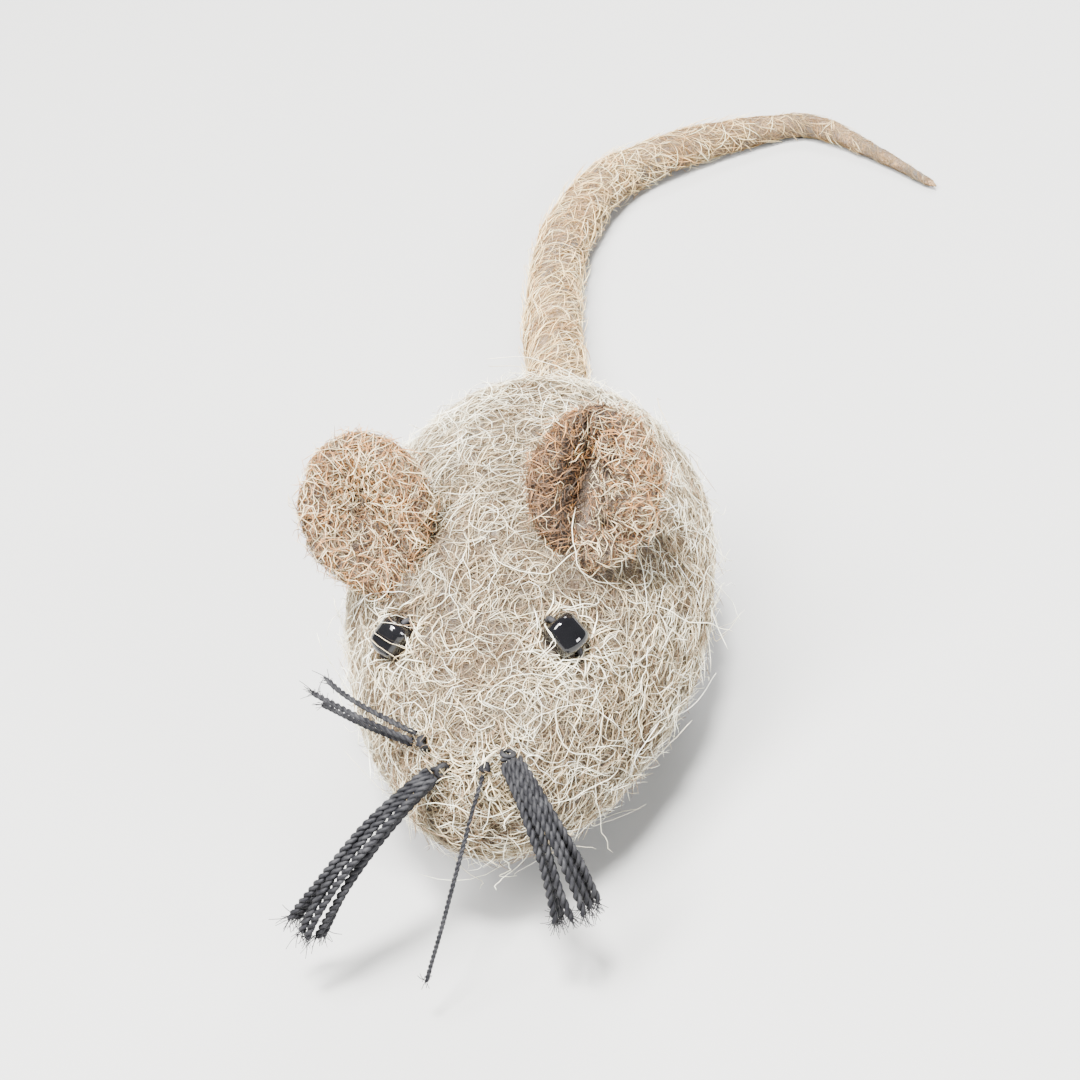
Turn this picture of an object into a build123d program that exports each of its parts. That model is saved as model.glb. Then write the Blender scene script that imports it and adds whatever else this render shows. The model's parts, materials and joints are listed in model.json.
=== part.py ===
"""A needle-felted wool mouse, a cat's toy: egg body, cupped ears, bead eyes, floss whiskers and a rope tail.

Millimetres. The nose points to -Y, the tail to +Y, up is +Z, and +X is the mouse's own left.
The origin is on the flat of the belly, half way along the body. The mouse lies on the plane z = 0.
"""
from build123d import *
from math import atan2, cos, degrees, radians, sin, sqrt
import os

# Body: an egg of three tangent arcs turned about a line along Y, pressed flat by BELLY_FLAT underneath.
# The widest place and the catnip are that far behind the body's middle.
BODY_LENGTH = 62.0
BODY_RADIUS = 19.3
NOSE_RADIUS = 9.5
BELLY_FLAT = 1.7
WIDEST_PLACE = 4.25
FELT_THICKNESS = 3.0
LAYER_GAP = 0.1
CATNIP_RADIUS = 7.0
CATNIP_LENGTH = 26.0
CATNIP_PLACE = 4.0

# A place on the skin is how far behind the tip of the nose it is, and its degrees from straight up.

# Eyes: a drum bead on its side, held by a stitch that runs through its bore and back into the wool.
EYE_PLACE = (14.6, 35.5)
BEAD_RADIUS = 1.9
BEAD_LENGTH = 3.7
BEAD_RIM = 0.9
BEAD_BORE_RADIUS = 0.45
BEAD_PROUD = 0.5
BEAD_TURN = 25.0
BEAD_SEAT_GAP = 0.15
STITCH_RADIUS = 0.3
STITCH_DEPTH = 5.0
STITCH_REACH = 0.45
STITCH_BEND = 0.5
STITCH_GAP = 0.1

# Ears: a cupped felt disc on a rolled root, which lies in a groove of the head.
EAR_WIDTH = 13.6
EAR_HEIGHT = 16.4
EAR_THICKNESS = 4.0
EAR_RIM = 1.3
EAR_CUP_WIDTH = 10.0
EAR_CUP_DEPTH = 2.2
EAR_PLACES = {"left": (21.5, 32.5), "right": (20.0, 38.0)}
EAR_LEAN_BACK = 38.0
EAR_SPLAY = 12.0
EAR_ROOT_RADIUS = 1.9
EAR_ROOT_LENGTH = 7.0
EAR_ROOT_LIFT = 0.5
EAR_GAP = 0.3
EAR_FLEX = 12.0

# Whiskers: strands of floss that fan out from a knot at the nose.
STRAND_RADIUS = 0.42
FINE_STRAND_RADIUS = 0.25
KNOT_RADIUS = 1.15
FINE_KNOT_RADIUS = 0.7
KNOT_PROUD = 0.6
KNOT_SEAT_GAP = 0.1
KNOT_STRAND_GAP = 0.15
STRAND_GAP = 0.06
TIE_RADIUS = 0.7
TIE_DEPTH = 3.0
# name: place, aim of the bunch, length, strands, how far the tips fan out, outward bow
WHISKER_BUNCHES = {
    "left": ((3.5, 30.0), (0.38, -0.50, -0.78), 16.0, 5, 1.5, 3.1),
    "right_lower": ((2.5, -23.5), (-0.67, -0.38, -0.64), 21.5, 4, 1.2, 2.8),
    "right_upper": ((4.6, -31.0), (-0.89, 0.42, 0.15), 12.5, 3, 1.0, 1.2),
    "centre": ((2.4, 16.0), (-0.30, -0.54, -0.78), 22.0, 1, 0.0, 2.2),
}

# Tail: a tapered felt rope, divided into short lengths that turn on each other as ball and cup.
TAIL_RADIUS = 4.1
TAIL_GAP = 0.35
TAIL_SEAT_GAP = 0.5
TAIL_ROOT_PROUD = 3.5
TAIL_ROOT_HEIGHT = 7.2
TAIL_FLOOR_GAP = 0.3
# x and y of each joint from the tail's root, and the rope's thickness there as a share of the root's
TAIL_COURSE = [
    (0.0, 0.0, 1.0),
    (-4.5, 16.0, 0.985),
    (-9.0, 34.0, 0.97),
    (-12.3, 52.0, 0.95),
    (-12.9, 69.5, 0.90),
    (-8.6, 84.5, 0.81),
    (2.0, 94.2, 0.70),
    (15.5, 100.2, 0.48),
    (21.6, 99.8, 0.40),
    (30.4, 92.3, 0.25),
    (39.4, 82.6, 0.13),
]

BODY_AXIS_HEIGHT = BODY_RADIUS - BELLY_FLAT
FROM_START = (Align.CENTER, Align.CENTER, Align.MIN)


def egg_arcs(inset):
    """The egg's outline, moved inwards, as arcs: centre y, centre radius, arc radius, angle from, angle to."""
    half = BODY_LENGTH / 2 - inset
    girth = BODY_RADIUS - inset
    nose = NOSE_RADIUS - inset
    to_nose = half + WIDEST_PLACE
    to_rump = half - WIDEST_PLACE
    flank = (girth**2 + to_nose**2 - 2 * nose * to_nose) / (2 * (girth - nose))
    rump = (girth * (2 * flank - girth) - to_rump**2) / (2 * (flank - to_rump))
    nose_y = nose - half
    rump_y = half - rump
    drop = flank - girth
    nose_angle = degrees(atan2(drop, nose_y - WIDEST_PLACE))
    rump_angle = degrees(atan2(drop, rump_y - WIDEST_PLACE))
    return [
        (nose_y, 0.0, nose, 180.0, nose_angle),
        (WIDEST_PLACE, -drop, flank, nose_angle, rump_angle),
        (rump_y, 0.0, rump, rump_angle, 0.0),
    ]


def on_arc(arc, angle):
    centre_y, centre_r, radius, _, _ = arc
    return (centre_y + radius * cos(radians(angle)), centre_r + radius * sin(radians(angle)))


def egg(inset):
    """The whole egg, moved inwards by inset all over, at its place above the floor."""
    arcs = egg_arcs(inset)
    edges = [ThreePointArc(on_arc(a, a[3]), on_arc(a, (a[3] + a[4]) / 2), on_arc(a, a[4])) for a in arcs]
    edges.append(Line(on_arc(arcs[2], 0), on_arc(arcs[0], 180)))
    outline = make_face(edges)
    return Pos(0, 0, BODY_AXIS_HEIGHT) * revolve(Plane.YZ * outline, Axis.Y, 360)


def skin(behind_nose, angle):
    """The point of the egg at a place, and the outward normal there."""
    station = behind_nose - BODY_LENGTH / 2
    for centre_y, centre_r, radius, start, end in egg_arcs(0):
        if station <= centre_y + radius * cos(radians(end)):
            break
    reach = centre_r + sqrt(radius**2 - (station - centre_y) ** 2)
    round_x = sin(radians(angle))
    round_z = cos(radians(angle))
    point = Vector(reach * round_x, station, BODY_AXIS_HEIGHT + reach * round_z)
    outward = (reach - centre_r) / radius
    return point, Vector(outward * round_x, (station - centre_y) / radius, outward * round_z)


def around(angle):
    """The direction round the body, down the +X side, at that many degrees from straight up."""
    return Vector(cos(radians(angle)), 0, -sin(radians(angle)))


def turned(shape, centre, axis, angle):
    return shape.rotate(Axis(centre, axis), angle)


def ball(centre, radius):
    return Pos(*centre) * Sphere(radius)


def rod(start, end, radius):
    """A straight round rod with round ends about the two points."""
    run = end - start
    straight = Plane(origin=start, z_dir=run) * Cylinder(radius, run.length, align=FROM_START)
    return straight + ball(start, radius) + ball(end, radius)


def tube(path, radius):
    return sweep(Plane(origin=path @ 0, z_dir=path % 0) * Circle(radius), path=path)


# ---- eyes ----

def bead_place():
    """Where the left eye's bead lies: its centre, the direction of its bore and the skin's normal."""
    point, normal = skin(*EYE_PLACE)
    across = around(EYE_PLACE[1])
    backward = normal.cross(across)
    bore = across * cos(radians(BEAD_TURN)) - backward * sin(radians(BEAD_TURN))
    return point + normal * BEAD_PROUD, bore, normal


def bead():
    centre, bore, normal = bead_place()
    drum = Cylinder(BEAD_RADIUS, BEAD_LENGTH)
    drum = fillet(drum.edges().filter_by(GeomType.CIRCLE), BEAD_RIM)
    drum -= Cylinder(BEAD_BORE_RADIUS, 2 * BEAD_LENGTH)
    return Plane(origin=centre, x_dir=normal, z_dir=bore) * drum


def bead_seat():
    centre, bore, normal = bead_place()
    drum = Cylinder(BEAD_RADIUS + BEAD_SEAT_GAP, BEAD_LENGTH + 2 * BEAD_SEAT_GAP)
    return Plane(origin=centre, x_dir=normal, z_dir=bore) * drum


def stitch(radius, depth):
    """The thread through the bead, with both its ends turned down into the wool."""
    centre, bore, normal = bead_place()
    reach = bore * (BEAD_LENGTH / 2 + STITCH_REACH)
    down = normal * depth
    corners = [centre - reach - down, centre - reach, centre + reach, centre + reach - down]
    return tube(FilletPolyline(*corners, radius=STITCH_BEND), radius)


# ---- ears ----

def ear_frame(side):
    """The left-hand form of an ear's place: root centre, root direction, rise, side direction and front."""
    point, normal = skin(*EAR_PLACES[side])
    splay = radians(EAR_SPLAY)
    back = radians(EAR_LEAN_BACK)
    rise = Vector(sin(splay), sin(back) * cos(splay), cos(back) * cos(splay))
    across = (Vector(1, 0, 0) - rise * rise.X).normalized()
    return point + normal * EAR_ROOT_LIFT, around(EAR_PLACES[side][1]), rise, across, across.cross(rise)


def ear_root(side, extra):
    """The rolled root, made larger by extra for its groove."""
    centre, along = ear_frame(side)[:2]
    half = along * (EAR_ROOT_LENGTH / 2)
    return rod(centre - half, centre + half, EAR_ROOT_RADIUS + extra)


def ear_blade(side):
    """The cupped disc, trimmed clear of the head over the whole of its flex."""
    centre, along, rise, across, front = ear_frame(side)
    disc = extrude(Ellipse(EAR_WIDTH / 2, EAR_HEIGHT / 2), EAR_THICKNESS / 2, both=True)
    disc = fillet(disc.edges(), EAR_RIM)
    half_cup = EAR_CUP_WIDTH / 2
    cup_radius = (half_cup**2 + EAR_CUP_DEPTH**2) / (2 * EAR_CUP_DEPTH)
    disc -= Pos(0, 0, EAR_THICKNESS / 2 - EAR_CUP_DEPTH + cup_radius) * Sphere(cup_radius)
    blade = Plane(origin=centre + rise * (EAR_HEIGHT / 2), x_dir=across, z_dir=front) * disc
    head = egg(-EAR_GAP)
    for angle in (-EAR_FLEX, 0, EAR_FLEX):
        blade -= turned(head, centre, along, angle)
    return max(blade.solids(), key=lambda solid: solid.volume)


def on_side(shape, side):
    """A shape made for the mouse's left, mirrored if it is wanted on the right."""
    return shape if side == "left" else mirror(shape, about=Plane.YZ)


# ---- whiskers ----

def knot_centre(bunch):
    point, normal = skin(*WHISKER_BUNCHES[bunch][0])
    return point + normal * KNOT_PROUD


def knot_radius(bunch):
    return FINE_KNOT_RADIUS if bunch == "centre" else KNOT_RADIUS


def strand(bunch, number):
    """One strand: an arc from beside the knot's middle to its place in the fan at the tips.

    The strands stand in a ring round the aim of the bunch, with the skin between two of them.
    """
    place, aim, length, count, fan, bow = WHISKER_BUNCHES[bunch]
    radius = FINE_STRAND_RADIUS if count == 1 else STRAND_RADIUS
    root = knot_centre(bunch)
    aim = Vector(*aim).normalized()
    side = aim.cross(skin(*place)[1]).normalized()
    rise = side.cross(aim)
    turn = radians(360 / count * (number + 0.5) - 90)
    offset = side * cos(turn) + rise * sin(turn)
    ring = 0 if count == 1 else (STRAND_RADIUS + STRAND_GAP / 2) / sin(radians(180 / count))
    start = root + offset * ring
    tip = root + aim * length + offset * (ring + fan)
    middle = (start + tip) / 2 + rise * bow
    whisker = tube(ThreePointArc(start, middle, tip), radius)
    return whisker - ball(root, knot_radius(bunch) + KNOT_STRAND_GAP)


def tie(radius):
    """The floss inside the nose, in a bow from the left knot back to the lower right one."""
    left = knot_centre("left")
    right = knot_centre("right_lower")
    inward = (skin(*WHISKER_BUNCHES["left"][0])[1] + skin(*WHISKER_BUNCHES["right_lower"][0])[1]).normalized()
    return tube(ThreePointArc(left, (left + right) / 2 - inward * TIE_DEPTH, right), radius)


# ---- tail ----

def tail_joints():
    """Each joint of the tail: its centre and the rope's radius there. The last one is the tip."""
    centre_y, _, rump_radius, _, _ = egg_arcs(0)[2]
    drop = BODY_AXIS_HEIGHT - TAIL_ROOT_HEIGHT
    root_y = centre_y + sqrt(rump_radius**2 - drop**2) + TAIL_ROOT_PROUD
    joints = []
    for x, y, share in TAIL_COURSE:
        radius = TAIL_RADIUS * share
        height = TAIL_ROOT_HEIGHT if not joints else radius + TAIL_FLOOR_GAP
        joints.append((Vector(x, root_y + y, height), radius))
    return joints


def tail_length(number):
    """A length of the rope: a ball at its start, and a cup for the next one's ball or a round tip."""
    joints = tail_joints()
    (start, thick), (end, thin) = joints[number : number + 2]
    run = end - start
    rope = Plane(origin=start, z_dir=run) * Cone(thick, thin, run.length, align=FROM_START)
    rope += ball(start, thick)
    if number + 2 == len(joints):
        return rope + ball(end, thin)
    return rope - ball(end, thin + TAIL_GAP)


# ---- body ----

def under_floor():
    """A block below the floor, larger than the body."""
    side = 2 * (BODY_LENGTH + BODY_RADIUS)
    return Pos(0, 0, -side / 2) * Box(side, side, side)


def catnip_roll(extra):
    """The roll of catnip, made larger by extra for its pocket."""
    half = Vector(0, CATNIP_LENGTH / 2 - CATNIP_RADIUS, 0)
    centre = Vector(0, CATNIP_PLACE, BODY_AXIS_HEIGHT)
    return rod(centre - half, centre + half, CATNIP_RADIUS + extra)


def layers():
    """The felt skin, the wool core in it and the catnip in that, with every seat and thread channel cut."""
    channels = [bead_seat(), stitch(STITCH_RADIUS + STITCH_GAP, STITCH_DEPTH + STITCH_GAP)]
    channels += [mirror(channel, about=Plane.YZ) for channel in channels]
    channels += [on_side(ear_root(side, EAR_GAP), side) for side in EAR_PLACES]
    channels += [ball(knot_centre(bunch), knot_radius(bunch) + KNOT_SEAT_GAP) for bunch in WHISKER_BUNCHES]
    channels.append(tie(TIE_RADIUS + KNOT_SEAT_GAP))
    channels.append(ball(tail_joints()[0][0], TAIL_RADIUS + TAIL_SEAT_GAP))
    felt = egg(0) - egg(FELT_THICKNESS) - under_floor()
    core = egg(FELT_THICKNESS + LAYER_GAP) - catnip_roll(LAYER_GAP)
    for channel in channels:
        felt -= channel
        core -= channel
    return {"body_felt": felt, "core_wool": core, "catnip_fill": catnip_roll(0)}


def all_parts():
    parts = layers()
    for side in EAR_PLACES:
        parts[f"eye_bead_{side}"] = on_side(bead(), side)
        parts[f"eye_stitch_{side}"] = on_side(stitch(STITCH_RADIUS, STITCH_DEPTH), side)
        parts[f"ear_{side}"] = on_side(ear_blade(side) + ear_root(side, 0), side)
    knots = {bunch: ball(knot_centre(bunch), knot_radius(bunch)) for bunch in WHISKER_BUNCHES}
    for bunch, knot in knots.items():
        parts[f"whisker_knot_{bunch}"] = knot
        for number in range(WHISKER_BUNCHES[bunch][3]):
            parts[f"whisker_{bunch}_{number + 1}"] = strand(bunch, number)
    parts["whisker_tie"] = tie(TIE_RADIUS) - knots["left"] - knots["right_lower"]
    for number in range(len(TAIL_COURSE) - 1):
        parts[f"tail_{number + 1}"] = tail_length(number)
    return parts


def main():
    os.makedirs("parts", exist_ok=True)
    for name, shape in all_parts().items():
        export_step(shape, f"parts/{name}.step")


if __name__ == "__main__":
    main()
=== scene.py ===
"""A needle-felted wool mouse, a cat's toy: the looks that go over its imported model.

Metres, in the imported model's own frame: the nose points to -Y, up is +Z, and +X is the mouse's own left.
"""

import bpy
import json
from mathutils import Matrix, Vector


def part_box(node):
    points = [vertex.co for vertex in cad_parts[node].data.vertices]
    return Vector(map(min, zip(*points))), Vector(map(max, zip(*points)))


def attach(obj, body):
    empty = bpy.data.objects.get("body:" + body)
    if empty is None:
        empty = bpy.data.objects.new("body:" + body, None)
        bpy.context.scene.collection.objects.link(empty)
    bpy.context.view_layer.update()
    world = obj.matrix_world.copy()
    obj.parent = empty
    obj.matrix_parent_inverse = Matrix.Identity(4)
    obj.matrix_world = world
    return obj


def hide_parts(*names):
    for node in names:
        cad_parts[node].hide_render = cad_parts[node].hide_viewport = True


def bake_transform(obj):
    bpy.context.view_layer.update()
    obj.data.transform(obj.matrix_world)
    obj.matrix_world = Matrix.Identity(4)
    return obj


bl_info = {
    "name": "Felted Mouse",
    "version": (1, 0, 0),
    "blender": (4, 5, 0),
    "location": "3D View > Sidebar > Felted Mouse",
    "description": "Builds a needle-felted wool mouse out of real fibres over its packed model",
    "category": "Add Mesh",
}

import json
from itertools import product
from math import atan2, cos, pi, radians, sin

import bpy
import numpy as np
from bpy.props import FloatProperty, FloatVectorProperty, IntProperty, PointerProperty
from mathutils import Matrix, Vector
from mathutils.bvhtree import BVHTree

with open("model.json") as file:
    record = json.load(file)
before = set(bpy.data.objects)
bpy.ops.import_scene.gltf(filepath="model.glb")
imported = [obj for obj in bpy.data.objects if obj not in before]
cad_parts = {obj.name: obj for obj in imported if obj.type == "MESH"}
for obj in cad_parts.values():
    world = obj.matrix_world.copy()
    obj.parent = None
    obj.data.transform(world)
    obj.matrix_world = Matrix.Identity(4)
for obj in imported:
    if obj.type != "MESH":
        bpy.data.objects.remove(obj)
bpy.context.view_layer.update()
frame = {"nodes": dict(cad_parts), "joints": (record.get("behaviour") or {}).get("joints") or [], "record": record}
JOINTS = {joint["name"]: joint for joint in frame["joints"]}
MM = 0.001

# Each side's direction along X, and the whisker bunches with how thick their floss is.
SIDES = {"left": 1, "right": -1}
BUNCHES = {"left": 1.0, "right_lower": 1.0, "right_upper": 0.75, "centre": 0.6}

# How many fibres, threads or loops there are in the small groups.
EYE_BEDDING = 90
LASHES = {"left": 3, "right": 9}
ROOT_WOOL = 60
KNOT_LOOPS = 14
FRAYED_THREADS = 22

# How finely the meshes are cut.
BODY_CUTS = 74
EAR_CUTS = 44
MAT_PIECES = 8
FIBRE_SIDES = 3
PLY_SIDES = 7
ROPE_SIDES = 40
ROPE_RINGS = 30

# Heights over the floor, and how far the fibres that cross a bead stay from its middle.
BELLY_HEIGHT = 0.15 * MM
FIBRE_GAP = 0.08 * MM
BEAD_REACH = 2.34 * MM

# Where the rope starts, in joints.
TAIL_START = -0.5

# Painted shade: what is left of a fibre's colour where it is deepest in the wool, as if the fibres above shaded
# it.
PAINTED_DEPTH_SHADE = np.array((0.12, 0.10, 0.08))


# ---- settings ----

def colour(name, value, text):
    """A colour setting."""
    return FloatVectorProperty(name=name, description=text, subtype="COLOR", min=0, max=1, default=value)


def distance(name, value, text):
    """A setting for a length, given in millimetres."""
    return FloatProperty(name=name, description=text, unit="LENGTH", min=0, default=value * MM)


def angle(name, value, text):
    """A setting for an angle, given in degrees."""
    return FloatProperty(name=name, description=text, subtype="ANGLE", default=radians(value))


def number_of(name, value, text):
    """A setting for how many there are."""
    return IntProperty(name=name, description=text, min=1, default=value)


class BodySettings(bpy.types.PropertyGroup):
    nose_radius: distance("Nose radius", 9.5, "Radius of the egg's small end")
    widest_place: distance("Widest place", 4.25, "How far behind the middle the egg is widest")
    mat_thickness: distance("Mat thickness", 0.35, "How far the loose fibres stand over the felt below them")
    lump_height: distance("Lump height", 0.42, "Height of the soft lumps that needling leaves")
    mat_fibres: number_of("Mat fibres", 40000, "Fibres that lie on the felt")
    fuzz_fibres: number_of("Fuzz fibres", 4500, "Fibres with a free end")
    stray_fibres: number_of("Stray hairs", 150, "Long loose hairs")
    curls: number_of("Curls", 180, "Long pale curls that lie on the mat")
    white: colour("White wool", (0.98, 0.935, 0.74), "Colour of the brightest fibres")
    cream: colour("Cream wool", (0.80, 0.67, 0.43), "Colour of most fibres")
    tan: colour("Tan wool", (0.24, 0.16, 0.09), "Colour of the darker fibres")
    # Painted shade: the deep colour stands for the shade between the fibres, where the felt shows through.
    deep: colour("Deep wool", (0.06, 0.042, 0.028), "Colour between the fibres")


class EarSettings(bpy.types.PropertyGroup):
    width: distance("Width", 13.0, "Width of the ear's felt")
    height: distance("Height", 16.2, "Height of the ear's felt over its root")
    thickness: distance("Thickness", 5.6, "Thickness at the rim")
    lean_back: angle("Lean back", 38, "How far the ear leans to the tail")
    splay: angle("Splay", 12, "How far the ear leans sideways")
    fibres: number_of("Fibres", 5200, "Fibres on each ear")
    ginger: colour("Ginger wool", (0.58, 0.29, 0.105), "Colour of the orange fibres")
    brown: colour("Brown wool", (0.22, 0.12, 0.06), "Colour of most fibres")
    # Partly the ears' own dark wool and partly painted shade in the fold and between the fibres.
    dark: colour("Dark wool", (0.075, 0.055, 0.042), "Colour in the fold and between the fibres")


class TailSettings(bpy.types.PropertyGroup):
    fibres: number_of("Fibres", 10000, "Fibres on the whole tail")
    fuzz: number_of("Fuzz", 420, "Looping fibres round the tail's root")
    white: colour("White wool", (1.0, 0.85, 0.54), "Colour of the brightest fibres")
    cream: colour("Cream wool", (0.94, 0.68, 0.34), "Colour of the pale patches")
    tan: colour("Tan wool", (0.52, 0.295, 0.115), "Colour of the tan patches")


class WhiskerSettings(bpy.types.PropertyGroup):
    ply_radius: distance("Ply radius", 0.23, "Radius of one of a strand's two plies")
    twist: distance("Twist", 1.9, "Length of one turn of the plies")
    black: colour("Floss", (0.009, 0.009, 0.0105), "Colour of the floss")


class StageSettings(bpy.types.PropertyGroup):
    target: FloatVectorProperty(name="Target", description="What the camera looks at", subtype="TRANSLATION",
                                default=(3.24 * MM, 0, 28.47 * MM))
    away: distance("Distance", 240, "From the camera to its target")
    azimuth: angle("Azimuth", 16.29, "Camera's turn round the mouse")
    elevation: angle("Elevation", 37.95, "Camera's angle over the floor")
    roll: angle("Roll", -11.35, "Camera's tilt")
    lens: FloatProperty(name="Lens", description="Focal length in millimetres", min=10, default=76.8)
    floor: colour("Floor", (0.32, 0.32, 0.318), "Colour of the floor")


SETTINGS = {
    "mouse_body": BodySettings,
    "mouse_ears": EarSettings,
    "mouse_tail": TailSettings,
    "mouse_whiskers": WhiskerSettings,
    "mouse_stage": StageSettings,
}


# ---- numbers ----

def unit(vectors):
    """Each row at length 1."""
    return vectors / np.maximum(np.linalg.norm(vectors, axis=-1, keepdims=True), 1e-12)


def bell(lengths, width):
    """1 where a length is 0, falling softly to 0 past the width."""
    return np.exp(-((lengths / width) ** 2))


def soft_noise(points, cell, seed):
    """Smooth noise from -1 to 1 at many points at once, in lumps as large as the cell."""
    table = np.random.default_rng(seed).uniform(-1, 1, 4096)
    place = points / cell + 500
    corner = np.floor(place).astype(np.int64)
    part = place - corner
    part = part * part * (3 - 2 * part)
    total = np.zeros(len(points))
    for step in product((0, 1), repeat=3):
        spot = (corner + step) * (73856093, 19349663, 83492791)
        share = np.where(step, part, 1 - part).prod(axis=1)
        total += share * table[(spot[:, 0] ^ spot[:, 1] ^ spot[:, 2]) % len(table)]
    return total


def lumps(points, layers):
    """Layers of smooth noise, each of a strength, with lumps of a size in millimetres, from a seed."""
    return sum(strength * soft_noise(points, size * MM, seed) for strength, size, seed in layers)


def around(vectors, axes, angles):
    """Each vector turned about its own axis, which is square to it."""
    return vectors * np.cos(angles)[:, None] + np.cross(axes, vectors) * np.sin(angles)[:, None]


def flattened(vectors, normals):
    """Each vector laid in the plane of its normal, at length 1."""
    return unit(vectors - normals * (vectors * normals).sum(axis=1, keepdims=True))


# ---- meshes ----

def mesh_object(name, points, faces):
    """A smooth mesh whose faces all have as many corners."""
    mesh = bpy.data.meshes.new(name)
    mesh.vertices.add(len(points))
    mesh.vertices.foreach_set("co", np.asarray(points, np.float32).ravel())
    mesh.loops.add(faces.size)
    mesh.loops.foreach_set("vertex_index", faces.astype(np.int32).ravel())
    mesh.polygons.add(len(faces))
    mesh.polygons.foreach_set("loop_start", np.arange(0, faces.size, faces.shape[1], dtype=np.int32))
    mesh.update(calc_edges=True)
    mesh.shade_smooth()
    piece = bpy.data.objects.new(name, mesh)
    bpy.context.scene.collection.objects.link(piece)
    return piece


def ball_grid(cuts):
    """Directions all round and the four-cornered faces between them, evenly spread with no poles."""
    steps = np.tan(np.linspace(-pi / 4, pi / 4, cuts + 1))
    across, up = np.meshgrid(steps, steps, indexing="ij")
    out = np.ones_like(across)
    sheets = [(out, across, up), (up, out, across), (across, up, out)]
    points = []
    faces = []
    size = cuts + 1
    corner = (np.arange(cuts)[:, None] * size + np.arange(cuts)).ravel()
    square = np.stack([corner, corner + size, corner + size + 1, corner + 1], axis=1)
    for number, sheet in enumerate(sheets):
        side = np.stack(sheet, axis=-1).reshape(-1, 3)
        faces += [square + 2 * number * size**2, square[:, ::-1] + (2 * number + 1) * size**2]
        points += [side, -side]
    points = unit(np.concatenate(points))
    _, first, place = np.unique(np.round(points, 6), axis=0, return_index=True, return_inverse=True)
    return points[first], place.ravel()[np.concatenate(faces)]


def square_to(runs, guide):
    """Two directions that are square to each run and to each other."""
    side = unit(np.cross(runs, guide))
    return side, np.cross(runs, side)


def rings_round(paths, radii, sides, lean):
    """Rings of points round several paths that have as many points each."""
    guide = unit(np.cross(paths[:, -1] - paths[:, 0], lean))[:, None]
    side, other = square_to(unit(np.gradient(paths, axis=1)), guide)
    turn = np.arange(sides) * 2 * pi / sides
    ring = side[:, :, None] * np.cos(turn)[:, None] + other[:, :, None] * np.sin(turn)[:, None]
    return paths[:, :, None] + ring * radii[..., None, None]


def tube_faces(rings, sides):
    """The four-cornered faces of a tube, ring by ring."""
    first = np.arange(rings - 1)[:, None] * sides
    corner = (first + np.arange(sides)).ravel()
    after = (first + (np.arange(sides) + 1) % sides).ravel()
    return np.stack([corner, after, after + sides, corner + sides], axis=1)


def tube_mesh(paths, radii, sides):
    """Points and faces of round tubes along several paths that have as many points each."""
    count, steps = paths.shape[:2]
    points = rings_round(paths, radii, sides, (0.2, 0.9, 0.38))
    faces = tube_faces(steps, sides) + np.arange(count)[:, None, None] * steps * sides
    return points.reshape(-1, 3), faces.reshape(-1, 4)


class Surface:
    """A felt surface that fibres grow on."""

    def __init__(self, *pieces):
        points = []
        triangles = []
        for piece in pieces:
            mesh = piece.data
            mesh.calc_loop_triangles()
            corners = np.empty(len(mesh.loop_triangles) * 3, np.int32)
            mesh.loop_triangles.foreach_get("vertices", corners)
            places = np.empty(len(mesh.vertices) * 3, np.float32)
            mesh.vertices.foreach_get("co", places)
            triangles.append(corners.reshape(-1, 3) + sum(map(len, points)))
            points.append(places.reshape(-1, 3).astype(float))
        self.points = np.concatenate(points)
        self.triangles = np.concatenate(triangles)
        self.tree = BVHTree.FromPolygons(self.points.tolist(), self.triangles.tolist())
        first, second, third = (self.points[self.triangles[:, k]] for k in range(3))
        self.areas = np.linalg.norm(np.cross(second - first, third - first), axis=1)
        self.middles = (first + second + third) / 3

    def scatter(self, count, rng, share=None):
        """Random places on the surface, with more of them where share is larger."""
        weights = self.areas if share is None else self.areas * share(self.middles)
        chosen = rng.choice(len(weights), count, p=weights / weights.sum())
        first, second = rng.random((2, count, 1))
        over = first + second > 1
        first, second = np.where(over, 1 - first, first), np.where(over, 1 - second, second)
        start, one, other = (self.points[self.triangles[chosen, corner]] for corner in range(3))
        return start + first * (one - start) + second * (other - start)

    def nearest(self, places):
        """The nearest point of the surface to each place, and the normal there."""
        found = [self.tree.find_nearest(place)[:2] for place in places.tolist()]
        return np.array([hit[0] for hit in found]), np.array([hit[1] for hit in found])


def grow(surface, roots, headings, lengths, curls, heights, rng, wobble=0.22):
    """The points of fibres that lie on a surface, each at its heights over the felt from root to tip."""
    steps = heights.shape[1]
    stride = (lengths / (steps - 1))[:, None]
    place, normal = surface.nearest(roots)
    heading = flattened(headings, normal)
    points = np.empty((len(roots), steps, 3))
    for step in range(steps):
        points[:, step] = place + normal * heights[:, step, None]
        bend = curls / (steps - 1) + rng.normal(0, wobble, len(roots))
        heading = around(heading, normal, bend)
        place, normal = surface.nearest(place + heading * stride)
        heading = flattened(heading, normal)
    return points


def arched(rng, count, steps, low, high, sink):
    """Heights of fibres that rise from the felt and go back into it."""
    along = np.linspace(0, 1, steps)
    top = rng.uniform(low, high, (count, 1))
    lean = rng.uniform(0.6, 1.6, (count, 1))
    return (top + sink) * np.sin(pi * along**lean) - sink


def free_ended(rng, count, steps, low, high, sink):
    """Heights of fibres that rise from the felt and end in the air."""
    along = np.linspace(0, 1, steps)
    top = rng.uniform(low, high, (count, 1))
    return top * along ** rng.uniform(0.8, 2.0, (count, 1)) - sink * (1 - along) ** 4


def buried(heights, top):
    """How deep in the wool each part of the fibres is, from the heights over the felt, which sets how much painted
    shade each part gets.
    """
    return 1 - (heights / top).clip(0, 1) ** 0.8


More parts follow.
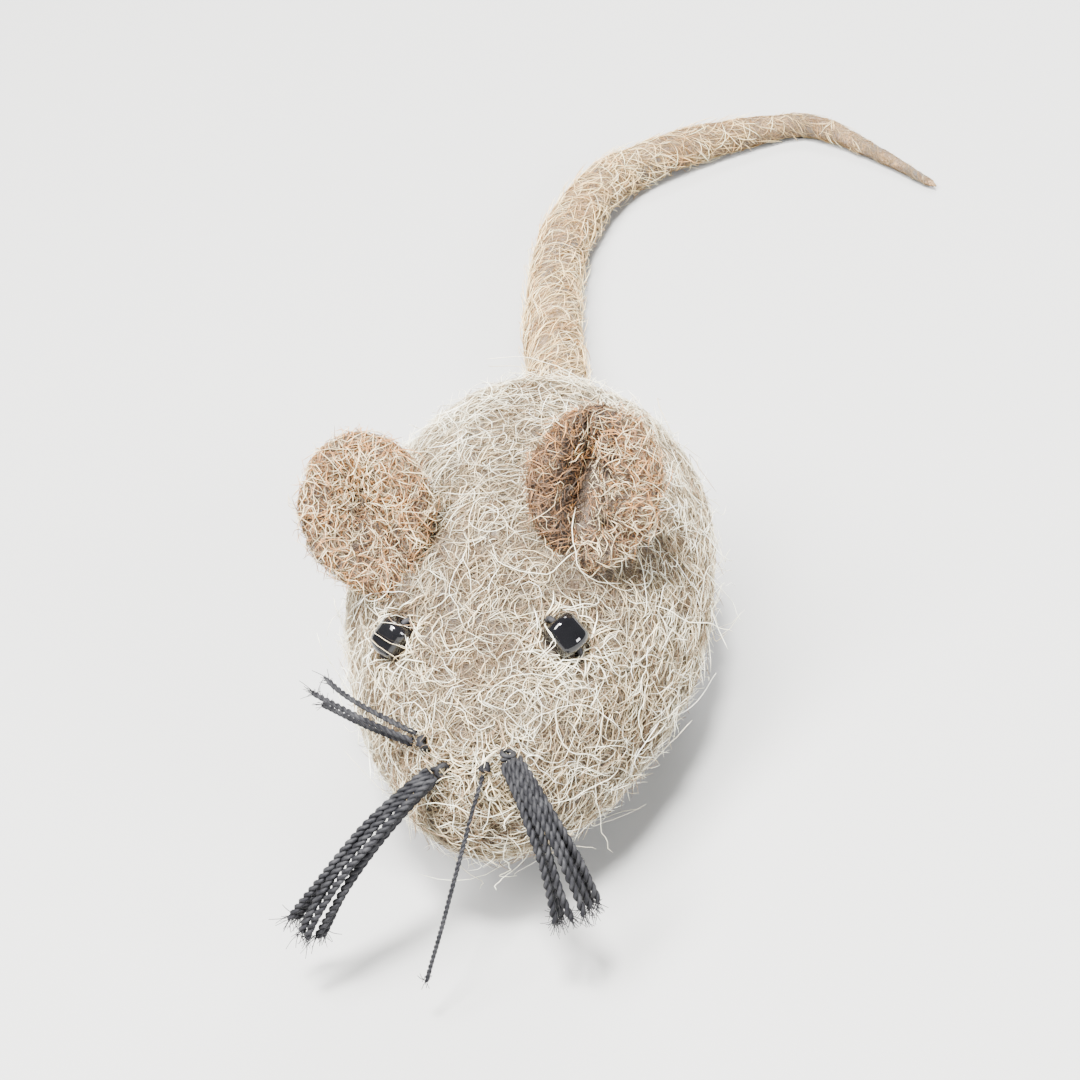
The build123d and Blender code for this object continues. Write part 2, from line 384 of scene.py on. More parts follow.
def fibre_faces(steps):
    """The triangles of one fibre, and where their corners lie in its cell of the paint map."""
    ring = np.arange(FIBRE_SIDES)
    following = (ring + 1) % FIBRE_SIDES
    faces = []
    cells = []
    for step in range(steps - 1):
        low = step * FIBRE_SIDES
        high = low + FIBRE_SIDES
        left, right = (step + 1) / (steps + 1), (step + 2) / (steps + 1)
        for here, after in zip(ring, following):
            bottom = here / FIBRE_SIDES
            top = bottom + 1 / FIBRE_SIDES
            faces += [(low + here, low + after, high + after), (low + here, high + after, high + here)]
            cells += [((left, bottom), (left, top), (right, top))]
            cells += [((left, bottom), (right, top), (right, bottom))]
    last = (steps - 1) * FIBRE_SIDES
    faces += [(0, 2, 1), (last, last + 1, last + 2)]
    edge = 1 / (steps + 1)
    cells += [((edge, 0), (0, 0.5), (edge, 1)), ((1 - edge, 0), (1 - edge, 1), (1, 0.5))]
    return np.array(faces), np.array(cells)


def fibre_piece(name, points, radii, tones, shade_depths):
    """One object of many fibres, each a thin tapered tube with its own colour and its own cell of the map.

    Depths are 0 for the parts of a fibre outside the wool and 1 for its buried parts, which get painted shade, as
    if the fibres above shaded them.
    """
    count, steps = points.shape[:2]
    number = np.arange(count)
    taper = np.minimum(1, 0.35 + 2.6 * np.sin(pi * np.linspace(0, 1, steps)) ** 0.8)
    corners = rings_round(points, radii[:, None] * taper, FIBRE_SIDES, (0.31, 0.52, 0.79))
    face, cell = fibre_faces(steps)
    faces = face + number[:, None, None] * steps * FIBRE_SIDES
    piece = mesh_object(name, corners.reshape(-1, 3), faces.reshape(-1, 3))
    paint = np.ones((count, steps, FIBRE_SIDES, 4), np.float32)
    # Painted shade: each fibre's colour is darkened where it lies deep in the wool.
    paint[..., :3] = (tones[:, None] * PAINTED_DEPTH_SHADE ** shade_depths[..., None])[:, :, None].clip(0, 1)
    layer = piece.data.attributes.new("wool", "FLOAT_COLOR", "POINT")
    layer.data.foreach_set("color", paint.ravel())
    across = int(np.ceil(np.sqrt(count)))
    corner = np.stack([number % across, number // across], axis=1)[:, None, None]
    paint_map = (corner + 0.06 + cell * 0.88) / across
    piece.data.uv_layers.new(name="OFBake").data.foreach_set("uv", paint_map.astype(np.float32).ravel())
    return piece


def blended_wools(rng, count, wools, shares):
    """A colour for each fibre: one of the wools, a little lighter or darker."""
    tones = np.array([tuple(wool) for wool in wools])
    passed = rng.random((count, 1)) > np.cumsum(shares, axis=1)
    chosen = passed.sum(axis=1).clip(0, len(wools) - 1)
    return tones[chosen] * rng.normal(1, 0.12, (count, 1)).clip(0.6, 1.4)


def three_wools(settings, rng, white, tan):
    """Fibres' colours from their shares of white and of tan; the rest is cream."""
    shares = np.stack([white, 1 - white - tan, tan], axis=1)
    return blended_wools(rng, len(white), (settings.white, settings.cream, settings.tan), shares)


def painted(piece, material):
    """The piece with this as its only material."""
    piece.data.materials.clear()
    piece.data.materials.append(material)
    return piece


# ---- materials ----

def node_group(name, inputs, outputs):
    """A new shader group with inputs of these values and these outputs, and its two ends."""
    group = bpy.data.node_groups.new(name, "ShaderNodeTree")
    for title, value in inputs.items():
        kind = "NodeSocketColor" if isinstance(value, tuple) else "NodeSocketFloat"
        socket = group.interface.new_socket(title, in_out="INPUT", socket_type=kind)
        socket.default_value = value
    for title in outputs:
        kind = "NodeSocketColor" if title == "Color" else "NodeSocketFloat"
        group.interface.new_socket(title, in_out="OUTPUT", socket_type=kind)
    return group, group.nodes.new("NodeGroupInput"), group.nodes.new("NodeGroupOutput")


def feed(tree, socket, value):
    """Links the socket to the value, or sets a plain value on it."""
    if isinstance(value, bpy.types.NodeSocket):
        tree.links.new(value, socket)
    else:
        socket.default_value = value


def mix_colours(tree, factor, first, second, way="MIX"):
    """A node that mixes two colours; each of the three is a socket or a plain value."""
    mix = tree.nodes.new("ShaderNodeMix")
    mix.data_type = "RGBA"
    mix.blend_type = way
    for place, value in ((0, factor), (6, first), (7, second)):
        feed(tree, mix.inputs[place], value)
    return mix.outputs[2]


def calculate(tree, way, first, second):
    """A node that works out one number from two; each is a socket or a plain value."""
    node = tree.nodes.new("ShaderNodeMath")
    node.operation = way
    for socket, value in zip(node.inputs, (first, second)):
        feed(tree, socket, value)
    return node.outputs[0]


def ranged(tree, value, low, high, from_low=0.0, from_high=1.0):
    """A node that moves a number from one range into another."""
    node = tree.nodes.new("ShaderNodeMapRange")
    ends = {"Value": value, "From Min": from_low, "From Max": from_high, "To Min": low, "To Max": high}
    for title, end in ends.items():
        feed(tree, node.inputs[title], end)
    return node.outputs[0]


def own_place(tree):
    """A node for places in the piece's own frame."""
    return tree.nodes.new("ShaderNodeTexCoord").outputs["Object"]


def drawn_out(tree, place, turn=(0, 0, 0)):
    """A node for places turned and drawn out one way, so that noise there runs in threads."""
    mapping = tree.nodes.new("ShaderNodeMapping")
    mapping.inputs["Rotation"].default_value = turn
    mapping.inputs["Scale"].default_value = (1, 1, 0.3)
    tree.links.new(place, mapping.inputs["Vector"])
    return mapping.outputs[0]


def noise(tree, place, scale, detail):
    """A node for smooth noise at each place."""
    node = tree.nodes.new("ShaderNodeTexNoise")
    for title, value in (("Vector", place), ("Scale", scale), ("Detail", detail)):
        feed(tree, node.inputs[title], value)
    return node.outputs["Fac"]


def felt_group():
    """Pressed wool: patches of two tones under a mat of fine fibres that run every way, painted towards the dark
    tone between the fibres as shade.
    """
    inputs = {"Light": (0.6, 0.5, 0.4, 1), "Dark": (0.3, 0.2, 0.1, 1), "Patch Scale": 160.0,
              "Fibre Scale": 900.0}
    group, start, end = node_group("Felted wool", inputs, ("Color", "Roughness", "Height"))
    place = own_place(group)
    strands = None
    for turn in ((0.3, 0.5, 0.2), (1.4, 0.2, 1.1), (0.6, 1.3, 2.1), (2.2, 0.9, 0.7), (2.9, 2.0, 1.6)):
        wave = noise(group, drawn_out(group, place, turn), start.outputs["Fibre Scale"], 1.0)
        ridge = calculate(group, "ABSOLUTE", calculate(group, "SUBTRACT", wave, 0.5), 0.0)
        strands = ridge if strands is None else calculate(group, "MINIMUM", strands, ridge)
    fibres = ranged(group, strands, 1, 0, 0.0, 0.03)
    patches = ranged(group, noise(group, place, start.outputs["Patch Scale"], 4.0), 0, 1, 0.35, 0.65)
    light = mix_colours(group, patches, start.outputs["Dark"], start.outputs["Light"])
    # Painted shade: the colour goes most of the way to the dark tone between the fibres.
    shaded = mix_colours(group, ranged(group, fibres, 0.85, 0.0), light, start.outputs["Dark"])
    group.links.new(shaded, end.inputs["Color"])
    group.links.new(ranged(group, fibres, 0.95, 0.78), end.inputs["Roughness"])
    group.links.new(fibres, end.inputs["Height"])
    return group


def fibre_tone_group():
    """A fibre's own colour with small changes along it, and how it shines."""
    inputs = {"Color": (0.7, 0.6, 0.5, 1), "Change": 0.2}
    group, start, end = node_group("Fibre tone", inputs, ("Color", "Roughness"))
    patches = noise(group, own_place(group), 900.0, 2.0)
    darker = calculate(group, "MULTIPLY", patches, start.outputs["Change"])
    toned = mix_colours(group, darker, start.outputs["Color"], (0.32, 0.24, 0.18, 1), "MULTIPLY")
    group.links.new(toned, end.inputs["Color"])
    group.links.new(ranged(group, patches, 0.42, 0.7), end.inputs["Roughness"])
    return group


def floss_group():
    """Twisted cotton: fine threads along each ply, with painted highlights in pale patches where they catch the
    light and painted shade between the threads.
    """
    inputs = {"Color": (0.04, 0.04, 0.05, 1), "Scale": 2600.0}
    group, start, end = node_group("Cotton floss", inputs, ("Color", "Roughness", "Height"))
    place = own_place(group)
    threads = noise(group, drawn_out(group, place), start.outputs["Scale"], 3.0)
    # Painted highlight: paler grey patches, where the floss would catch the light.
    glint_patches = ranged(group, noise(group, place, 700.0, 3.0), 0, 1, 0.4, 0.75)
    glinted = mix_colours(group, glint_patches, start.outputs["Color"], (0.035, 0.035, 0.038, 1))
    # Painted shade: darker between the threads.
    shade = mix_colours(group, ranged(group, threads, 0.7, 0.0, 0.35, 0.6), glinted, (0.006, 0.006, 0.008, 1))
    group.links.new(shade, end.inputs["Color"])
    group.links.new(ranged(group, threads, 0.45, 0.75), end.inputs["Roughness"])
    group.links.new(threads, end.inputs["Height"])
    return group


def shared_group(make, name):
    """The group of that name, made the first time it is wanted."""
    return bpy.data.node_groups.get(name) or make()


def new_material(name, sheen=0.0):
    """A new material, its tree and its shader."""
    material = bpy.data.materials.new(name)
    material.use_nodes = True
    shader = material.node_tree.nodes["Principled BSDF"]
    shader.inputs["Sheen Weight"].default_value = sheen
    shader.inputs["Sheen Roughness"].default_value = 0.5
    return material, material.node_tree, shader


def bumped(tree, shader, height, strength, depth):
    """Links a height to the shader as a bump; depth is in metres."""
    bump = tree.nodes.new("ShaderNodeBump")
    bump.inputs["Strength"].default_value = strength
    bump.inputs["Distance"].default_value = depth
    tree.links.new(height, bump.inputs["Height"])
    tree.links.new(bump.outputs["Normal"], shader.inputs["Normal"])


def grouped_material(name, make, title, values, depth=0.0, sheen=0.0):
    """A material whose colour, roughness and bump come from a shared group with its own values."""
    material, tree, shader = new_material(name, sheen)
    node = tree.nodes.new("ShaderNodeGroup")
    node.node_tree = shared_group(make, title)
    for socket, value in values.items():
        node.inputs[socket].default_value = value
    tree.links.new(node.outputs["Color"], shader.inputs["Base Color"])
    tree.links.new(node.outputs["Roughness"], shader.inputs["Roughness"])
    if depth:
        bumped(tree, shader, node.outputs["Height"], 0.9, depth)
    return material


def felt_material(name, light, dark, patch_scale=160.0):
    """Felt in two tones, for the surface under the fibres."""
    values = {"Light": (*light, 1), "Dark": (*dark, 1), "Patch Scale": patch_scale, "Fibre Scale": 900.0}
    return grouped_material(name, felt_group, "Felted wool", values, 0.2 * MM, sheen=0.1)


def fibre_material(name, change=0.25):
    """For fibres, which carry their own colours."""
    material, tree, shader = new_material(name)
    shader.inputs["Specular IOR Level"].default_value = 0.3
    paint = tree.nodes.new("ShaderNodeAttribute")
    paint.attribute_name = "wool"
    node = tree.nodes.new("ShaderNodeGroup")
    node.node_tree = shared_group(fibre_tone_group, "Fibre tone")
    node.inputs["Change"].default_value = change
    tree.links.new(paint.outputs["Color"], node.inputs["Color"])
    tree.links.new(node.outputs["Color"], shader.inputs["Base Color"])
    tree.links.new(node.outputs["Roughness"], shader.inputs["Roughness"])
    return material


def floss_material(name, tone):
    """Twisted floss of one tone, with little shine."""
    material = grouped_material(name, floss_group, "Cotton floss", {"Color": (*tone, 1)}, 0.05 * MM)
    material.node_tree.nodes["Principled BSDF"].inputs["Specular IOR Level"].default_value = 0.12
    return material


def mottled_material(name, scale, detail, colours, roughness, bump=None):
    """A material whose colour and roughness run in soft patches from the first value to the second."""
    material, tree, shader = new_material(name)
    patches = noise(tree, own_place(tree), scale, detail)
    tree.links.new(mix_colours(tree, patches, *colours), shader.inputs["Base Color"])
    tree.links.new(ranged(tree, patches, *roughness), shader.inputs["Roughness"])
    if bump:
        bumped(tree, shader, patches, *bump)
    return material


# ---- body ----

def joint_place(name):
    """Where a joint is."""
    return np.array(JOINTS[name]["pos_m"])


def node_middle(node):
    """The middle of a solid's box."""
    low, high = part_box(node)
    return np.array((low + high) / 2)


def egg_outline(settings):
    """The egg's middle, and its outline as angles from the nose and the distance at each of them."""
    low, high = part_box("body_felt")
    half = (high.y - low.y) / 2
    girth = (high.x - low.x) / 2
    nose = settings.nose_radius
    widest = settings.widest_place
    to_nose = half + widest
    to_rump = half - widest
    flank = (girth**2 + to_nose**2 - 2 * nose * to_nose) / (2 * (girth - nose))
    rump = (girth * (2 * flank - girth) - to_rump**2) / (2 * (flank - to_rump))
    drop = flank - girth
    nose_turn = atan2(drop, nose - to_nose)
    rump_turn = atan2(drop, to_rump - rump)
    arcs = [(nose - half, 0, nose, pi, nose_turn), (widest, -drop, flank, nose_turn, rump_turn),
            (half - rump, 0, rump, rump_turn, 0)]
    along = []
    out = []
    for centre, height, radius, start, end in arcs:
        turn = np.linspace(start, end, 80)
        along.append(centre + radius * np.cos(turn))
        out.append(height + radius * np.sin(turn))
    along, out = np.concatenate(along), np.concatenate(out)
    return np.array((0, 0, high.z - girth)), np.arctan2(out, -along), np.hypot(out, along)


def segment_distance(points, start, end):
    """How far each point is from the line between two ends."""
    run = end - start
    share = ((points - start) @ run / (run @ run)).clip(0, 1)
    return np.linalg.norm(points - start - share[:, None] * run, axis=1)


def ear_frame(side):
    """An ear's root, and its directions across, up and to the front."""
    settings = bpy.context.scene.mouse_ears
    splay, back = settings.splay * SIDES[side], settings.lean_back
    rise = np.array((sin(splay), sin(back) * cos(splay), cos(back) * cos(splay)))
    across = unit(np.array((1.0, 0, 0)) - rise * rise[0])
    return joint_place(f"ear_flex_{side}"), across, rise, np.cross(across, rise)


def body_shape(settings):
    """The egg with its lumps, its flat belly, and the wool drawn in or up round whatever is set in it."""
    directions, faces = ball_grid(BODY_CUTS)
    middle, angles, reaches = egg_outline(settings)
    reach = np.interp(np.arccos(-directions[:, 1].clip(-1, 1)), angles, reaches)
    points = middle + directions * (reach - settings.mat_thickness)[:, None]
    shift = settings.lump_height * lumps(points, ((1, 9, 1), (0.45, 3.4, 2), (0.2, 1.3, 3)))
    for side in SIDES:
        off = np.linalg.norm(points - node_middle(f"eye_bead_{side}"), axis=1)
        shift -= 0.45 * MM * bell(off, 2.8 * MM)
        root, across, _, _ = ear_frame(side)
        off = segment_distance(points, root - across * 3.5 * MM, root + across * 3.5 * MM)
        shift += 0.7 * MM * bell(off, 3.4 * MM)
    for bunch in BUNCHES:
        off = np.linalg.norm(points - node_middle(f"whisker_knot_{bunch}"), axis=1)
        shift -= 0.5 * MM * bell(off, 1.9 * MM)
    off = np.linalg.norm(points - joint_place("tail_lift"), axis=1)
    shift += 1.3 * MM * bell(off, 6.5 * MM)
    points += directions * shift[:, None]
    points[:, 2] = np.maximum(points[:, 2], BELLY_HEIGHT)
    return points, faces


def body_wools(settings, rng, places, bright):
    """The fibres' colours on the body: more tan on the snout, in patches and round the ears, and more tan low down
    as painted shade.
    """
    patch = lumps(places, ((0.7, 7, 5), (0.6, 2.5, 6)))
    snout = np.clip((-places[:, 1] - 8 * MM) / (20 * MM), 0, 1)
    ears = 0
    for side in SIDES:
        ears += bell(np.linalg.norm(places - joint_place(f"ear_flex_{side}"), axis=1), 5.5 * MM)
    # Painted shade: more tan wool in the lowest 12 mm of the body, where shade falls under it.
    below = np.clip(1 - places[:, 2] / (12 * MM), 0, 1)
    tan = np.clip(0.25 + 0.34 * patch + 0.14 * snout + 0.45 * ears + 0.15 * below, 0.04, 0.9)
    tan *= 1 - bright
    white = np.clip(0.48 - 0.34 * patch - 0.10 * snout + bright, 0.08, 0.95) * (1 - tan)
    return three_wools(settings, rng, white, tan)


def under_ears(places):
    """The share of its height that the wool keeps at each place; it is less where an ear may fold back."""
    low = np.zeros(len(places))
    for side in SIDES:
        root = joint_place(f"ear_flex_{side}")
        off = segment_distance(places, root, root + np.array((0, 7, 1)) * MM)
        low = np.maximum(low, bell(off, 5 * MM))
    return (1 - 0.65 * low)[:, None]


def kept_off(points, centre, radius):
    """Which fibres stay further than the radius from a centre all along."""
    return (np.linalg.norm(points - centre, axis=2) > radius).all(axis=1)


def clear_of_eyes(points, radius):
    """Which fibres stay further than the radius from both beads."""
    clear = [kept_off(points, node_middle(f"eye_bead_{side}"), radius) for side in SIDES]
    return np.logical_and(*clear)


def above_floor(points):
    """The same points, none of them under the floor."""
    points[..., 2] = np.maximum(points[..., 2], FIBRE_GAP)
    return points


def random_headings(rng, count, along_share):
    """Directions every way, with a share of them more or less along the body."""
    headings = rng.normal(size=(count, 3))
    lengthways = rng.random(count) < along_share
    headings[lengthways] = (0, 1, 0) + rng.normal(0, 0.35, (lengthways.sum(), 3))
    return headings * rng.choice((-1, 1), (count, 1))


class MOUSE_OT_body(bpy.types.Operator):
    """Makes the egg of felted wool and the fibres on it"""
    bl_idname = "mouse.body"
    bl_label = "Body"

    def execute(self, context):
        settings = context.scene.mouse_body
        rng = np.random.default_rng(11)
        felt = mesh_object("body_wool", *body_shape(settings))
        # Painted shade: the felt under the fibres is tan at about half strength with the deep colour, so the gaps
        # between the fibres look shaded.
        painted(felt, felt_material("Cream felt", np.array(settings.tan) * 0.55, settings.deep))
        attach(felt, "body")
        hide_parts("body_felt")
        surface = Surface(felt)
        wool = fibre_material("Cream fibres")
        for layer in (self.mat, self.fuzz, self.curls, self.lashes, self.root_wool):
            layer(settings, surface, rng, wool)
        return {"FINISHED"}

    def add(self, name, points, radii, tones, shade_depths, wool, chosen=True):
        """A piece of the chosen fibres, without those that would lie under the belly."""
        kept = chosen & (points[..., 2].min(axis=1) > 0.3 * MM)
        piece = fibre_piece(name, above_floor(points[kept]), radii[kept], tones[kept], shade_depths[kept])
        painted(piece, wool)
        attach(piece, "body")

    def mat(self, settings, surface, rng, wool):
        """Fibres that lie on the felt, in pieces small enough to handle."""
        count = settings.mat_fibres
        roots = surface.scatter(count, rng)
        lengths = rng.uniform(2.6, 7.5, count) * MM
        curls = rng.normal(0, 1.9, count)
        heights = arched(rng, count, 6, 0.02 * MM, 0.75 * MM, 0.15 * MM) * under_ears(roots)
        headings = random_headings(rng, count, 0.45)
        points = grow(surface, roots, headings, lengths, curls, heights, rng, 0.3)
        radii = (0.017 + 0.028 * rng.random(count) ** 2) * MM
        tones = body_wools(settings, rng, roots, 0.0)
        clear = clear_of_eyes(points, 1.95 * MM)
        shade_depths = buried(heights, 0.7 * MM)
        share = np.arange(count) * MAT_PIECES // count
        for number in range(MAT_PIECES):
            self.add(f"body_mat_{number + 1}", points, radii, tones, shade_depths, wool, clear & (share == number))

    def fuzz(self, settings, surface, rng, wool):
        """Fibres with free ends, and a few long stray hairs."""
        count = settings.fuzz_fibres
        roots = surface.scatter(count, rng)
        heights = free_ended(rng, count, 7, 0.3 * MM, 1.9 * MM, 0.15 * MM) * under_ears(roots)
        lengths = rng.uniform(2.0, 6.0, count) * MM
        headings = random_headings(rng, count, 0.2)
        points = grow(surface, roots, headings, lengths, rng.normal(0, 2.6, count), heights, rng, 0.3)
        clear = clear_of_eyes(points, 2.2 * MM)
        radii = rng.uniform(0.022, 0.042, count) * MM
        tones = body_wools(settings, rng, roots, 0.35)
        self.add("body_fuzz", points, radii, tones, buried(heights, 0.5 * MM), wool, clear)
        count = settings.stray_fibres
        roots = surface.scatter(count, rng)
        heights = free_ended(rng, count, 16, 1.5 * MM, 4.5 * MM, 0.2 * MM) * under_ears(roots)
        lengths = rng.uniform(7.0, 15.0, count) * MM
        headings = random_headings(rng, count, 0.1)
        points = grow(surface, roots, headings, lengths, rng.normal(0, 3.2, count), heights, rng)
        clear = clear_of_eyes(points, 2.6 * MM)
        radii = rng.uniform(0.03, 0.05, count) * MM
        tones = body_wools(settings, rng, roots, 0.8)
        self.add("body_stray_hairs", points, radii, tones, buried(heights, 0.4 * MM), wool, clear)

    def curls(self, settings, surface, rng, wool):
        """Long pale curls that lie over the mat."""
        count = settings.curls
        roots = surface.scatter(count, rng)
        heights = arched(rng, count, 16, 0.7 * MM, 1.4 * MM, 0.15 * MM) * under_ears(roots)
        headings = random_headings(rng, count, 0.5)
        lengths = rng.uniform(6, 13, count) * MM
        points = grow(surface, roots, headings, lengths, rng.normal(0, 3.0, count), heights, rng, 0.25)
        tones = body_wools(settings, rng, roots, 0.85)
        radii = rng.uniform(0.020, 0.036, count) * MM
        clear = clear_of_eyes(points, 2.4 * MM)
        self.add("body_curls", points, radii, tones, buried(heights, 0.5 * MM), wool, clear)

    def root_wool(self, settings, surface, rng, wool):
        """Brown wool drawn over the whiskers' knots."""
        knots = np.repeat([node_middle(f"whisker_knot_{bunch}") for bunch in BUNCHES], ROOT_WOOL, axis=0)
        count = len(knots)
        roots = knots + rng.normal(0, 1.1 * MM, (count, 3))
        heights = arched(rng, count, 7, 0.4 * MM, 1.8 * MM, 0.2 * MM)
        headings = rng.normal(size=(count, 3))
        lengths = rng.uniform(2.5, 5, count) * MM
        points = grow(surface, roots, headings, lengths, rng.normal(0, 2.0, count), heights, rng, 0.2)
        tones = body_wools(settings, rng, roots, 0.0)
        tones *= np.where(rng.random((count, 1)) < 0.5, 0.45, 1)
        radii = rng.uniform(0.03, 0.055, count) * MM
        self.add("whisker_root_wool", points, radii, tones, buried(heights, 0.5 * MM), wool)

    def lashes(self, settings, surface, rng, wool):
        """Fibres round each bead eye: a ring that beds it in, and pale ones that cross its outer edge."""
        for side in SIDES:
            eye = node_middle(f"eye_bead_{side}")
            _, normal = surface.nearest(eye[None])
            self.bedding(settings, surface, rng, wool, side, eye, normal)
            count = LASHES[side]
            outer = flattened(np.array([(-1.0, -0.1, -0.3)]), normal)[0]
            down = np.cross(normal[0], outer)
            start = eye + outer * rng.uniform(0.7, 2.1, (count, 1)) * MM
            start = start - down * rng.uniform(1.8, 3.2, (count, 1)) * MM
            headings = down + outer * rng.uniform(-0.35, 0.25, (count, 1))
            heights = arched(rng, count, 14, 1.6 * MM, 2.6 * MM, 0.2 * MM)
            lengths = rng.uniform(4.2, 6.4, count) * MM
            points = grow(surface, start, headings, lengths, rng.normal(0, 0.8, count), heights, rng, 0.12)
            off = points - eye
            reach = np.linalg.norm(off, axis=2, keepdims=True)
            points = eye + off * np.maximum(1, BEAD_REACH / reach)
            tones = body_wools(settings, rng, start, 0.4)
            radii = np.full(count, 0.036 * MM)
            self.add(f"eye_lashes_{side}", points, radii, tones, buried(heights, 0.6 * MM), wool)

    def bedding(self, settings, surface, rng, wool, side, eye, normal):
        """Fibres that run round a bead."""
        count = EYE_BEDDING
        turn = rng.uniform(0, 2 * pi, (count, 1))
        across = flattened(np.array([(1.0, 0, 0)]), normal)
        out = across * np.cos(turn) + np.cross(normal, across) * np.sin(turn)
        start = eye + out * rng.uniform(2.0, 3.0, (count, 1)) * MM
        headings = np.cross(normal, out) * rng.choice((-1, 1), (count, 1)) + 0.12 * out
        heights = arched(rng, count, 7, 0.3 * MM, 1.3 * MM, 0.2 * MM)
        lengths = rng.uniform(2.5, 4.5, count) * MM
        points = grow(surface, start, headings, lengths, rng.normal(0, 0.6, count), heights, rng, 0.12)
        tones = body_wools(settings, rng, start, 0.15)
        radii = rng.uniform(0.04, 0.07, count) * MM
        clear = clear_of_eyes(points, 1.8 * MM)
        self.add(f"eye_bedding_{side}", points, radii, tones, buried(heights, 0.6 * MM), wool, clear)


# ---- ears ----

# Each fold's place across and up, half width, half height and depth. The depth is a share of the ear's
# thickness, and the others are shares of its half sizes.
EAR_FOLDS = {
    "left": ((-0.18, -0.06, 0.27, 0.86, 0.98), (0.16, -0.52, 0.42, 0.22, 0.38)),
    "right": ((-0.04, 0.08, 0.28, 0.46, 0.46), (0.22, -0.45, 0.24, 0.30, 0.26)),
}
CUP_DEPTH = 0.26
# How much dark wool fills each ear's folds: partly the ears' own dark brown wool and partly painted shade in the
# folds.
FOLD_DARK_AND_SHADE = {"left": 2.8, "right": 1.7}


def ear_depth(side, across, up):
    """How deep the ear's front is pressed in at each place, as a share of its thickness."""
    depth = CUP_DEPTH * bell(np.hypot(across, up), 0.6)
    for middle, height, half_width, half_height, fold in EAR_FOLDS[side]:
        depth += fold * bell(np.hypot((across - middle) / half_width, (up - height) / half_height), 1.0)
    return depth


def ear_spots(side, settings, places):
    """Where places lie across and up an ear, in shares of its half sizes, and how deep the fold is there."""
    root, across, rise, front = ear_frame(side)
    off = places - root - rise * settings.height / 2
    u, v = off @ across / (settings.width / 2), off @ rise / (settings.height / 2)
    return u, v, np.where(off @ front > -0.5 * MM, ear_depth(side, u, v), 0)


def ear_shape(side, settings):
    """A thick lumpy disc of felt, folded in at the front and drawn narrow at its root."""
    directions, faces = ball_grid(EAR_CUTS)
    root, across, rise, front = ear_frame(side)
    half = np.array((settings.width, settings.height, settings.thickness)) / 2
    u, v, out = directions.T
    at_front = out > 0
    out = np.sign(out) * np.abs(out) ** 0.72
    shape = np.stack([u, v, out], axis=1) * half
    shape[:, 0] *= 1 - 0.22 * np.clip(-v - 0.35, 0, 1) / 0.65
    shape[:, 2] *= np.where(at_front, 1.1, 0.58)
    shape[:, 2] -= np.where(at_front, ear_depth(side, u, v), 0) * settings.thickness
    shape[:, 2] -= 0.5 * MM * (1 - u**2 - v**2)
    axes = np.stack([across, rise, front])
    points = root + rise * half[1] + shape @ axes
    outward = unit(shape / half**2) @ axes
    lump = MM * lumps(points, ((0.30, 3.2, 21), (0.13, 1.3, 22)))
    return points + outward * lump[:, None], faces


class MOUSE_OT_ears(bpy.types.Operator):
    """Makes the two cupped ears of brown felt"""
    bl_idname = "mouse.ears"
    bl_label = "Ears"

    def execute(self, context):
        settings = context.scene.mouse_ears
        # Painted shade: the felt under the fibres is dark brown with the dark colour, so the gaps between the
        # fibres look shaded.
        felt = felt_material("Brown felt", np.array(settings.brown) * 0.4, settings.dark, 240.0)
        wool = fibre_material("Brown fibres", 0.35)
        for number, side in enumerate(SIDES):
            self.ear(settings, side, felt, wool, np.random.default_rng(31 + number))
        return {"FINISHED"}

    def ear(self, settings, side, felt, wool, rng):
        """One ear's felt and fibres; the fibres are thicker in the folds and lie flat on the back."""
        piece = mesh_object(f"ear_{side}_felt", *ear_shape(side, settings))
        painted(piece, felt)
        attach(piece, f"ear_{side}")
        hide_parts(f"ear_{side}")
        surface = Surface(piece)
        count = settings.fibres
        roots = surface.scatter(count, rng, lambda places: 1 + 2 * ear_spots(side, settings, places)[2])
        heights = arched(rng, count, 6, 0.05 * MM, 0.5 * MM, 0.12 * MM)
        loose = rng.random(count) < 0.4
        heights[loose] = free_ended(rng, loose.sum(), 6, 0.4 * MM, 1.5 * MM, 0.12 * MM)
        behind = surface.nearest(roots)[1] @ ear_frame(side)[3] < -0.25
        heights[behind] *= 0.45
        lengths = rng.uniform(1.6, 4.6, count) * MM
        headings = rng.normal(size=(count, 3))
        points = grow(surface, roots, headings, lengths, rng.normal(0, 2.4, count), heights, rng, 0.3)
        radii = rng.uniform(0.024, 0.048, count) * MM
        tones = self.wools(settings, side, rng, roots)
        fibres = fibre_piece(f"ear_{side}_fibres", points, radii, tones, buried(heights, 0.55 * MM))
        painted(fibres, wool)
        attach(fibres, f"ear_{side}")

    def wools(self, settings, side, rng, places):
        """Ginger at the top, brown below, dark in the folds, partly the ears' own dark wool and partly painted
        shade, white hairs all over, and painted light and shade across the ears.
        """
        body = bpy.context.scene.mouse_body
        u, v, fold = ear_spots(side, settings, places)
        patch = soft_noise(places, 3 * MM, 41)
        # The dark share in the folds is partly the ears' own dark wool and partly painted shade.
        dark = np.clip(FOLD_DARK_AND_SHADE[side] * fold - 0.3, 0, 0.95)
        # Painted light and shade: the left ear gets more brown wool on its side towards the head's middle and more
        # pale and ginger wool on its outer side, and the right ear more pale wool all over, as the light falls on
        # them.
        painted_light_and_shade = np.clip(0.6 * u, -0.26, 0.12) if side == "left" else 0.10
        pale = np.clip(0.36 + painted_light_and_shade + 0.12 * patch, 0.05, 0.6) * (1 - 0.75 * dark)
        ginger = np.clip(0.42 + painted_light_and_shade + 0.22 * v + 0.25 * patch, 0.05, 0.8) * (1 - dark - pale)
        shares = np.stack([dark, pale, ginger, 1 - dark - pale - ginger], axis=1)
        wools = (settings.dark, body.cream, settings.ginger, settings.brown)
        return blended_wools(rng, len(places), wools, shares)


# ---- tail ----

